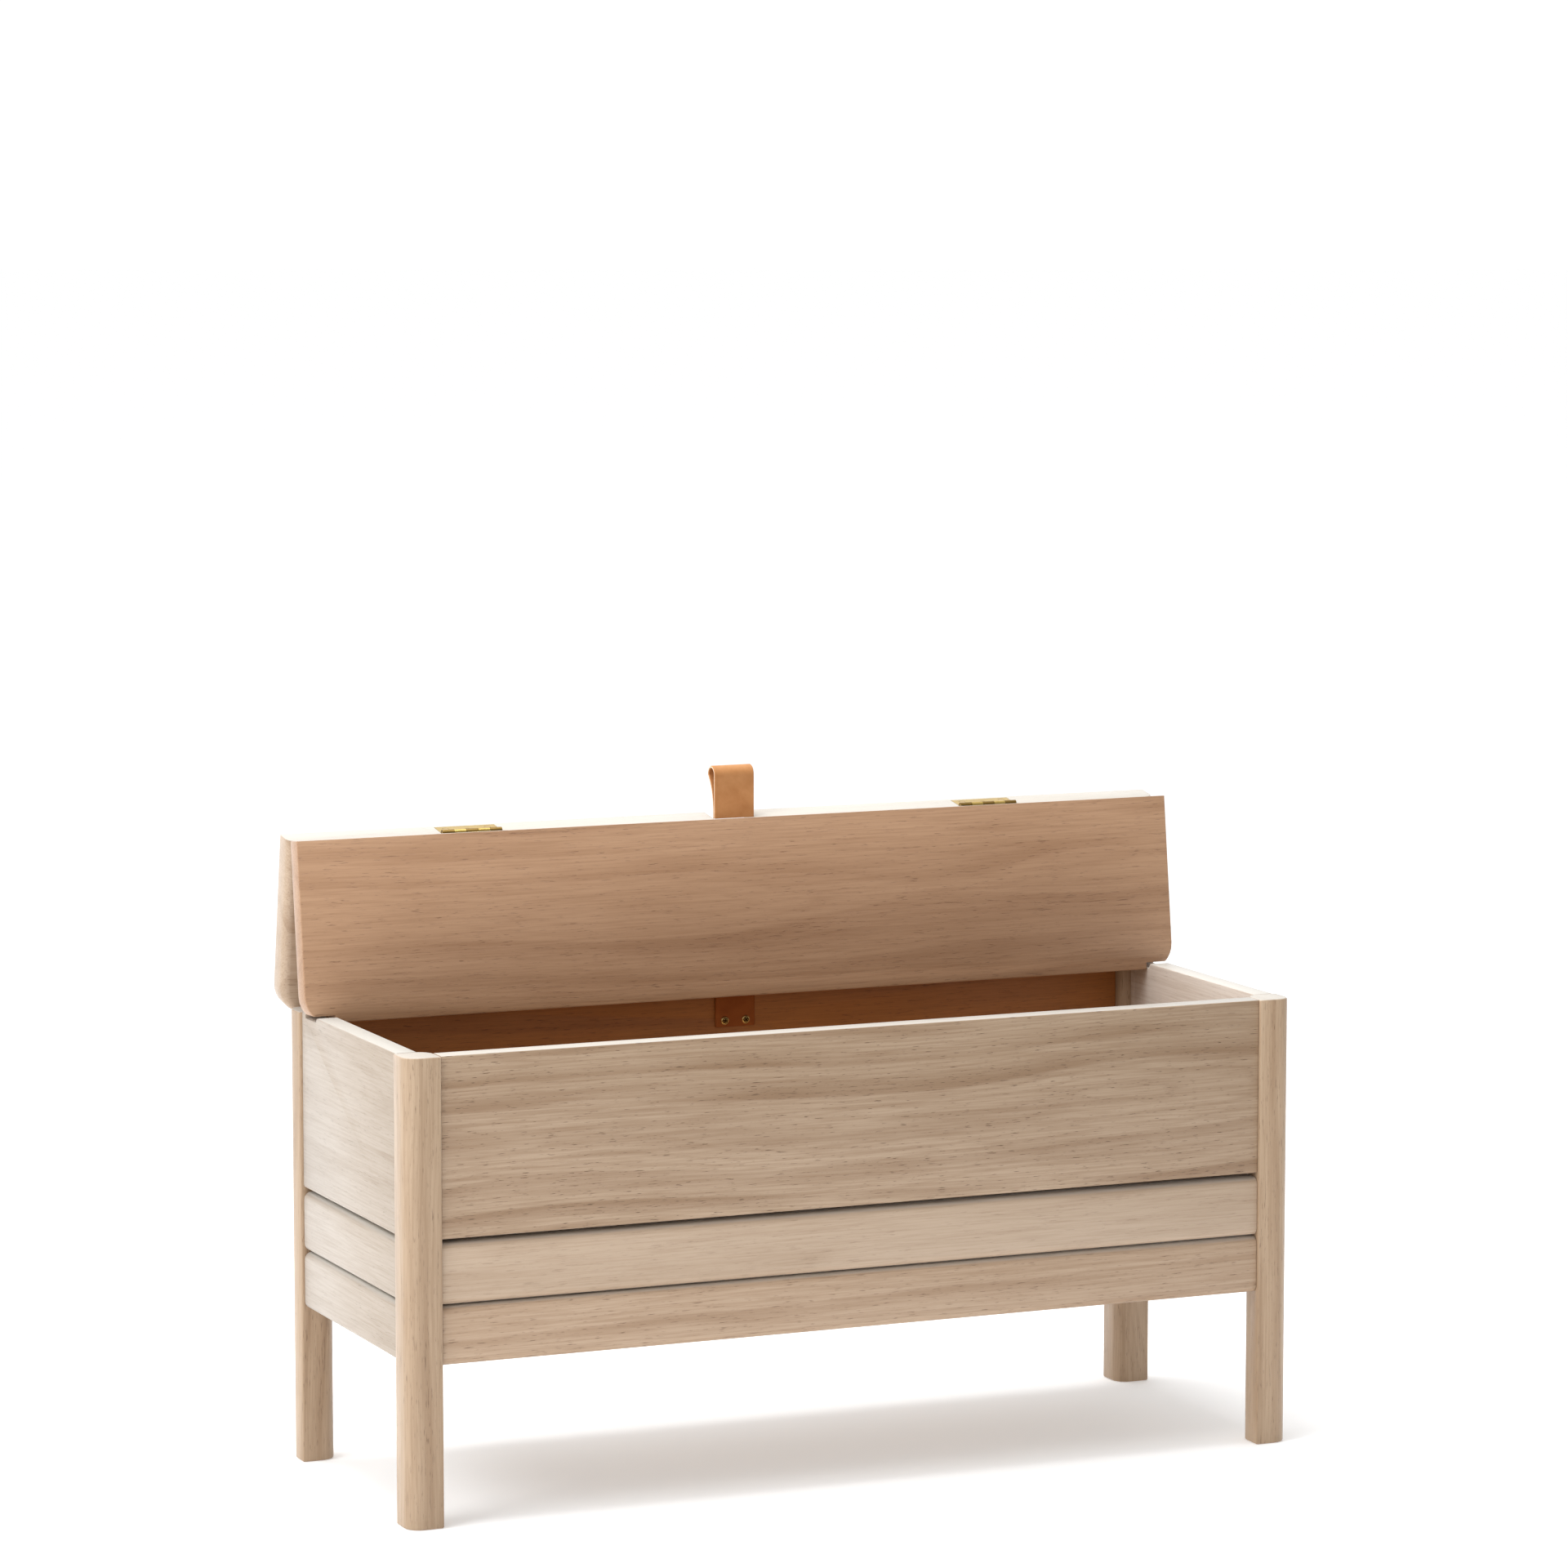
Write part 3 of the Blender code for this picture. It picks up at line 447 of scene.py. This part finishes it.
def make_fittings():
    leaf = brass("brass_leaf", (0.66, 0.46, 0.14), 0.30)
    # the front leaves' much darker brass is painted shade for the shade round their knuckles
    painted_shade_leaf = brass("brass_painted_shade_leaf", (0.27, 0.165, 0.045), 0.40)
    bright = brass("brass_screw", (0.72, 0.50, 0.20), 0.26)
    # near-black brass for the screws' cross recesses: painted shade
    recess = brass("brass_recess_painted_shade", (0.10, 0.055, 0.015), 0.60)
    wool = felt("felt")
    for node in NODES:
        if SLOTS[node] == "felt":
            refined(node, wool)
        elif SLOTS[node] == "brass" and not node.startswith("strap_screw"):
            turned = "screw" in node or "pin" in node
            # front leaves take the brass with painted shade
            refined(node, bright if turned else painted_shade_leaf if "front_leaf" in node else leaf)
    for hand in ("left", "right"):
        strap_screw(hand, (bright, recess))
        rear_hinge_screws(hand, (bright, recess))


def strap_screw(hand, materials):
    """The head of one screw in the tab, in place of its CAD node."""
    node = f"strap_screw_{hand}"
    low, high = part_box(node)
    tab_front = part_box("strap_anchor")[0].y
    place = Vector(((low.x + high.x) / 2, tab_front, (low.z + high.z) / 2))
    turn = STRAP_SCREW_TURNS[hand]
    head = screw_head(f"{node}_head", place, -1, STRAP_SCREW_RADIUS, turn, materials)
    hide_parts(node)


def rear_hinge_screws(hand, materials):
    """The heads of the screws in one rear hinge's box leaf."""
    low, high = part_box(f"rear_hinge_{hand}_box_leaf")
    pin_low, pin_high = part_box(f"rear_hinge_{hand}_pin")
    for index, (along, below) in enumerate(HINGE_SCREWS, start=1):
        place = Vector(((low.x + high.x) / 2 + along, PANEL_REAR_FACE,
                        (pin_low.z + pin_high.z) / 2 - below))
        name = f"rear_hinge_{hand}_screw_{index}_head"
        screw_head(name, place, 1, HINGE_SCREW_RADIUS, index, materials)


def bridge(bm, lower, upper):
    """Quads between two closed rings of vertices."""
    count = len(lower)
    for i in range(count):
        j = (i + 1) % count
        bm.faces.new((lower[i], lower[j], upper[j], upper[i]))


def screw_dome(name, facing, radius, height):
    bm = bmesh.new()
    rings = []
    for step in range(SCREW_STEPS):
        angle = math.radians(90 * step / SCREW_STEPS)
        reach, rise = radius * math.cos(angle), height * math.sin(angle)
        rings.append([bm.verts.new((reach * math.cos(math.tau * i / SCREW_SIDES), facing * rise,
                                    reach * math.sin(math.tau * i / SCREW_SIDES)))
                      for i in range(SCREW_SIDES)])
    for lower, upper in zip(rings, rings[1:]):
        bridge(bm, lower, upper)
    bm.faces.new(rings[-1])
    bm.faces.new(list(reversed(rings[0])))
    bmesh.ops.recalc_face_normals(bm, faces=bm.faces)
    return mesh_object(name, bm)


def cross_cutter(name, facing, arm, width, height):
    """Prism in the shape of a cross, which cuts the recess."""
    cross = ((arm, width), (width, width), (width, arm), (-width, arm), (-width, width),
             (-arm, width), (-arm, -width), (-width, -width), (-width, -arm), (width, -arm),
             (width, -width), (arm, -width))
    bm = bmesh.new()
    near = [bm.verts.new((x, facing * height * RECESS_FLOOR, z)) for x, z in cross]
    far = [bm.verts.new((x, facing * height * 2, z)) for x, z in cross]
    bridge(bm, near, far)
    bm.faces.new(list(reversed(near)))
    bm.faces.new(far)
    bmesh.ops.recalc_face_normals(bm, faces=bm.faces)
    return mesh_object(name, bm)


def screw_head(name, place, facing, radius, turn, materials):
    """Domed head with a cross recess, standing on a face that looks along Y."""
    height = radius * SCREW_HEIGHT
    arm = radius * RECESS_ARM
    dome = screw_dome(name, facing, radius, height)
    cutter = cross_cutter(f"{name}_recess", facing, arm, radius * RECESS_WIDTH, height)
    recess = dome.modifiers.new("Recess", "BOOLEAN")
    recess.operation = "DIFFERENCE"
    recess.solver = "EXACT"
    recess.object = cutter
    bpy.context.view_layer.update()
    cut = dome.evaluated_get(bpy.context.evaluated_depsgraph_get())
    mesh = bpy.data.meshes.new_from_object(cut)
    dome.modifiers.clear()
    dome.data = mesh
    bpy.data.objects.remove(cutter, do_unlink=True)
    mesh.materials.clear()
    for material in materials:
        mesh.materials.append(material)
    # faces in the cross recess take the second material, the brass with painted shade
    for face in mesh.polygons:
        inside = math.hypot(face.center.x, face.center.z) < arm * 1.05
        face.material_index = 1 if inside and abs(face.center.y) < height * 0.8 else 0
    mesh.transform(Matrix.Translation(place) @ Matrix.Rotation(turn, 4, "Y"))
    mesh.shade_smooth()
    mesh.set_sharp_from_angle(angle=SMOOTH_ANGLE)
    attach(dome, "box")
    return dome


# ---- leather strap ------------------------------------------------------------------------------
def evenly(points, step):
    """Points along a polyline at an even spacing."""
    spaced = [points[0]]
    left = step
    for start, end in zip(points, points[1:]):
        run = (end - start).length
        while left < run:
            spaced.append(start.lerp(end, left / run))
            left += step
        left -= run
    if (spaced[-1] - points[-1]).length > step * 0.3:
        spaced.append(points[-1])
    else:
        spaced[-1] = points[-1]
    return spaced


def leather_band(name, points, thickness, skin, edge):
    """Band of leather along a line in the YZ plane, with softened edges and cut sides."""
    half = thickness / 2
    soft = STRAP_CORNER
    section = [(-1, -half + soft, 0), (-1, half - soft, 0), (-1, half, soft), (1, half, soft),
               (1, half - soft, 0), (1, -half + soft, 0), (1, -half, soft), (-1, -half, soft)]
    cut_sides = (0, 4)
    bm = bmesh.new()
    rings = []
    for i, point in enumerate(points):
        run = points[min(i + 1, len(points) - 1)] - points[max(i - 1, 0)]
        run.normalize()
        out = Vector((0, -run.z, run.y))
        ring = []
        for side, offset, inset in section:
            x = side * (STRAP_HALF_WIDTH - inset)
            ring.append(bm.verts.new(point + out * offset + Vector((x, 0, 0))))
        rings.append(ring)
    count = len(section)
    for lower, upper in zip(rings, rings[1:]):
        for i in range(count):
            j = (i + 1) % count
            face = bm.faces.new((lower[i], lower[j], upper[j], upper[i]))
            face.material_index = 1 if i in cut_sides else 0
    for ring in (list(reversed(rings[0])), rings[-1]):
        bm.faces.new(ring).material_index = 1
    bmesh.ops.recalc_face_normals(bm, faces=bm.faces)
    piece = mesh_object(name, bm)
    piece.data.materials.append(skin)
    piece.data.materials.append(edge)
    piece.data.shade_smooth()
    piece.data.set_sharp_from_angle(angle=LEATHER_SMOOTH_ANGLE)
    return piece


def make_stay(skin):
    """The tab on the rear panel, and the strap from it up to the fold of the lid."""
    tab_low, tab_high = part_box("strap_anchor")
    stay_low, stay_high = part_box("strap_stay")
    tab_y = (tab_low.y + tab_high.y) / 2
    stay_y = (stay_low.y + stay_high.y) / 2
    wedge_y = FOLD.y + STRAP_THICKNESS / 2 + STAY_GAP
    line = [Vector((0, tab_y, tab_low.z)), Vector((0, tab_y, tab_high.z - TAB_TOP_MARGIN)),
            Vector((0, stay_y, stay_low.z)), Vector((0, stay_y, stay_high.z))]
    first_drop = FOLD.z - stay_high.z
    for i in range(1, STAY_STEPS + 1):
        drop = first_drop + (STAY_END_DROP - first_drop) * i / STAY_STEPS
        beside_board = wedge_y - math.tan(FRONT_LEAN) * drop
        line.append(Vector((0, max(stay_y, beside_board), FOLD.z - drop)))
    points = evenly(line, STRAP_STEP)
    stay = leather_band("strap_tab_and_stay", points, STAY_THICKNESS, skin, skin)
    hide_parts("strap_anchor", "strap_stay")
    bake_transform(stay)


def make_loop(skin, edge):
    """The pull loop: up from the fold, round, and back down with a bow."""
    low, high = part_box("strap_loop")
    near = low.y + STRAP_THICKNESS / 2
    radius = (high.y - low.y - STRAP_THICKNESS) / 2
    shoulder = high.z - STRAP_THICKNESS / 2 - radius
    line = [Vector((0, near, FOLD.z)), Vector((0, near, shoulder))]
    for degrees in range(LOOP_TURN_STEP, 180, LOOP_TURN_STEP):
        angle = math.radians(degrees)
        line.append(Vector((0, near + radius - radius * math.cos(angle),
                            shoulder + radius * math.sin(angle))))
    for i in range(LOOP_STEPS + 1):
        share = 1 - i / LOOP_STEPS
        bow = LOOP_FOOT + (2 * radius - LOOP_FOOT) * share ** LOOP_BOW
        line.append(Vector((0, near + bow, FOLD.z + (shoulder - FOLD.z) * share)))
    points = evenly(line, LOOP_SPACING)
    loop = leather_band("strap_pull_loop", points, STRAP_THICKNESS, skin, edge)
    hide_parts("strap_loop")
    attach(loop, "pull_strap")


def make_strap():
    skin = leather("strap_leather", (0.53, 0.245, 0.092))
    # the tab and stay get darker, redder leather than the loop: painted shade for the tab's place
    # inside the box
    tab_skin_painted_shade = leather("strap_tab_leather_painted_shade", (0.36, 0.10, 0.016))
    edge = leather("strap_cut_edge", (0.95, 0.78, 0.60), 0.0002)
    make_stay(tab_skin_painted_shade)
    make_loop(skin, edge)


# ---- studio -------------------------------------------------------------------------------------
def make_surround():
    """White surround, dimmer on the bench's front and right so that its sides read apart."""
    world = bpy.data.worlds.new("studio")
    bpy.context.scene.world = world
    world.use_nodes = True
    nodes, links = world.node_tree.nodes, world.node_tree.links
    coordinates = nodes.new("ShaderNodeTexCoord")
    lean = nodes.new("ShaderNodeVectorMath")
    lean.operation = "DOT_PRODUCT"
    lean.inputs[1].default_value = SURROUND_SLOPE
    shift = nodes.new("ShaderNodeMath")
    shift.operation = "ADD"
    shift.inputs[1].default_value = 0.5
    ramp = nodes.new("ShaderNodeValToRGB")
    set_stops(ramp, SURROUND_STOPS)
    background = nodes["Background"]
    background.inputs["Strength"].default_value = SURROUND_STRENGTH
    links.new(coordinates.outputs["Generated"], lean.inputs[0])
    links.new(lean.outputs["Value"], shift.inputs[0])
    links.new(shift.outputs[0], ramp.inputs[0])
    links.new(ramp.outputs[0], background.inputs["Color"])


def make_floor():
    bm = bmesh.new()
    bmesh.ops.create_circle(bm, cap_ends=True, radius=FLOOR_RADIUS, segments=64)
    floor = mesh_object("studio_floor", bm)
    paper = Shader("studio_paper", Roughness=1.0, Specular_IOR_Level=0.0)
    paper.surface.inputs["Base Color"].default_value = (PAPER_WHITE, PAPER_WHITE, PAPER_WHITE, 1)
    paper.surface.inputs["Emission Color"].default_value = (1, 1, 1, 1)
    paper.surface.inputs["Emission Strength"].default_value = PAPER_GLOW
    floor.data.materials.append(paper.material)
    floor.location.z = -FLOOR_DROP


def make_lamps():
    for name, (place, power, colour) in LAMPS.items():
        lamp = bpy.data.lights.new(name, "AREA")
        lamp.shape = "DISK"
        lamp.size = LAMP_SIZE
        lamp.energy = power
        lamp.color = colour
        holder = linked(name, lamp)
        holder.location = place
        aim = Vector(LAMP_AIM) - Vector(place)
        holder.rotation_euler = aim.to_track_quat("-Z", "Y").to_euler()


def make_camera():
    camera = bpy.data.cameras.new("camera")
    camera.lens = CAMERA_LENS
    camera.sensor_width = SENSOR_WIDTH
    holder = linked("camera", camera)
    holder.location = CAMERA_PLACE
    holder.rotation_euler = Euler((math.pi / 2 - CAMERA_PITCH, 0, -CAMERA_YAW))
    bpy.context.scene.camera = holder


make_camera()
make_floor()
make_surround()
make_lamps()
make_wood()
make_fittings()
make_strap()
bpy.context.scene.view_settings.view_transform = "Standard"
